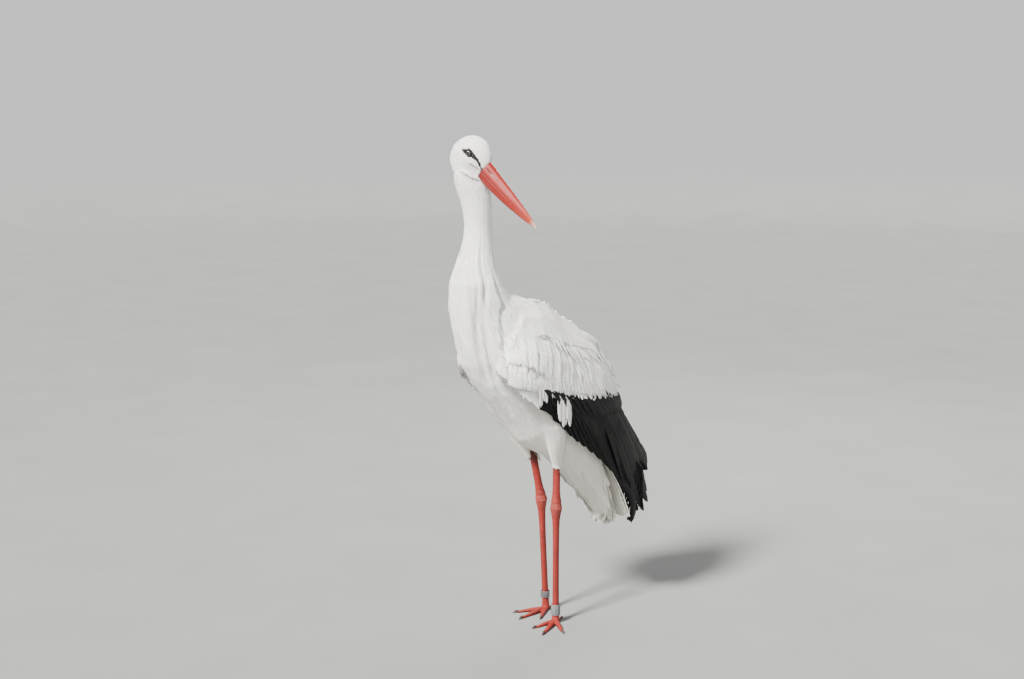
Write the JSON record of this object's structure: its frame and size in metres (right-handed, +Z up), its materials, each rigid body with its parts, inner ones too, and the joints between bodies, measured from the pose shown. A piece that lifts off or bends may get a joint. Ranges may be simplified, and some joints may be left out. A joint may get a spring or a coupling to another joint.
{
  "type": "white stork",
  "caption": "Life-size white stork standing upright at rest, wings folded, head turned to its left, long red bill pointing down.",
  "frame": {"origin": "middle of the bounding box at floor level, under the bird's belly between its feet", "axes": "+Z up along the standing height; -Y the way the trunk faces; +X the bird's left"},
  "size_m": [0.2528, 0.5146, 1.0291],
  "materials": {
    "white_plumage": "soft, matt feathers",
    "black_plumage": "matt feathers with a faint sheen",
    "bill_horn": "smooth satin horn",
    "eye": "wet and glossy",
    "leg_skin": "scaly matt skin",
    "claw_horn": "worn horn",
    "ring_pale": "scuffed",
    "ring_metal": "dull and scuffed"
  },
  "bodies": {
    "root": {"head": "white_plumage", "neck_upper": "white_plumage", "neck_lower": "white_plumage", "trunk": "white_plumage", "thigh_left": "white_plumage", "thigh_right": "white_plumage", "wing_left_coverts": "white_plumage", "wing_right_coverts": "white_plumage", "tail": "white_plumage", "wing_left_flight": "black_plumage", "wing_right_flight": "black_plumage", "bill_upper": "bill_horn", "bill_lower": "bill_horn", "eye_left": "eye", "eye_right": "eye", "shank_left": "leg_skin", "shank_right": "leg_skin", "tarsus_left": "leg_skin", "tarsus_right": "leg_skin", "foot_left": "leg_skin", "foot_right": "leg_skin", "claw_left_inner": "claw_horn", "claw_left_middle": "claw_horn", "claw_left_outer": "claw_horn", "claw_left_hind": "claw_horn", "claw_right_inner": "claw_horn", "claw_right_middle": "claw_horn", "claw_right_outer": "claw_horn", "claw_right_hind": "claw_horn", "leg_ring_left": "ring_pale", "leg_ring_right": "ring_metal"}
  },
  "joints": []
}
